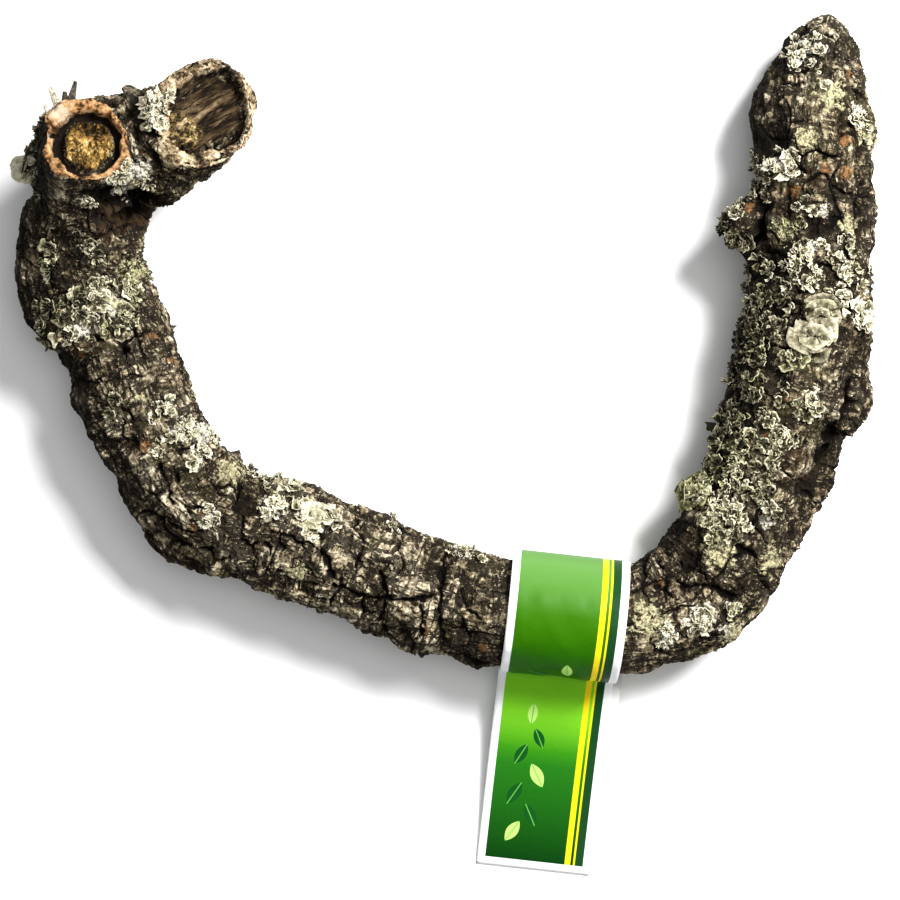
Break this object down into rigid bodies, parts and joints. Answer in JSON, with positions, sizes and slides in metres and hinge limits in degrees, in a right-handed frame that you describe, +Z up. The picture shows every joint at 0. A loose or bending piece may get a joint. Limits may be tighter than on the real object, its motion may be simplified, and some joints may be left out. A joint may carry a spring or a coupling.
{
  "type": "cork branch",
  "caption": "Lichen-covered cork oak branch bowed in a wide U, with two sawn stubs at its fork and a folded paper tag round its middle, lying flat as terrarium or aviary decor.",
  "frame": {"origin": "middle of the footprint of branch and tag, on the surface the branch lies on", "axes": "+Z up from the surface, +Y from the bow towards the two free ends, +X from the forked arm to the other arm"},
  "size_m": [0.3689, 0.373, 0.0967],
  "materials": {
    "bark": "rough cork bark with pale leafy lichen",
    "stub_bark": "rough cork bark with sawn, weathered ends",
    "tag_paper": null
  },
  "bodies": {
    "root": {"main_limb": "bark", "round_stub": "stub_bark", "hollow_stub": "stub_bark", "paper_tag": "tag_paper"}
  },
  "joints": []
}
